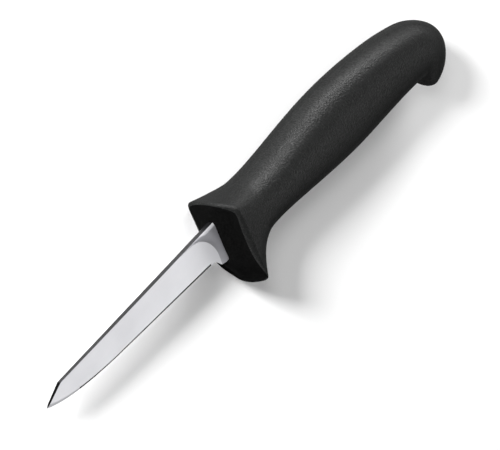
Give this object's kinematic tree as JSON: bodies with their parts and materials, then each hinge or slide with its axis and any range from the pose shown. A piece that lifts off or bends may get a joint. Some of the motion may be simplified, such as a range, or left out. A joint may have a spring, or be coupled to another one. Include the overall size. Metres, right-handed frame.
{
  "type": "poultry knife",
  "caption": "Short poultry knife: flat-ground steel blade with a straight spine and clipped tip, in a moulded black grip with a flared finger guard and a hooked butt.",
  "frame": {"origin": "middle of the bounding box, on the surface that the knife lies on", "axes": "+X from butt to tip, +Y from spine to cutting edge, +Z out of the left cheek; the knife lies on its right side"},
  "size_m": [0.1929, 0.031, 0.0194],
  "materials": {
    "steel": "stainless steel, cheeks ground flat to a fine bright satin, spine and ricasso left duller",
    "black_plastic": "black moulded plastic with a fine matte grain"
  },
  "bodies": {
    "root": {"blade": "steel", "handle": "black_plastic"}
  },
  "joints": []
}
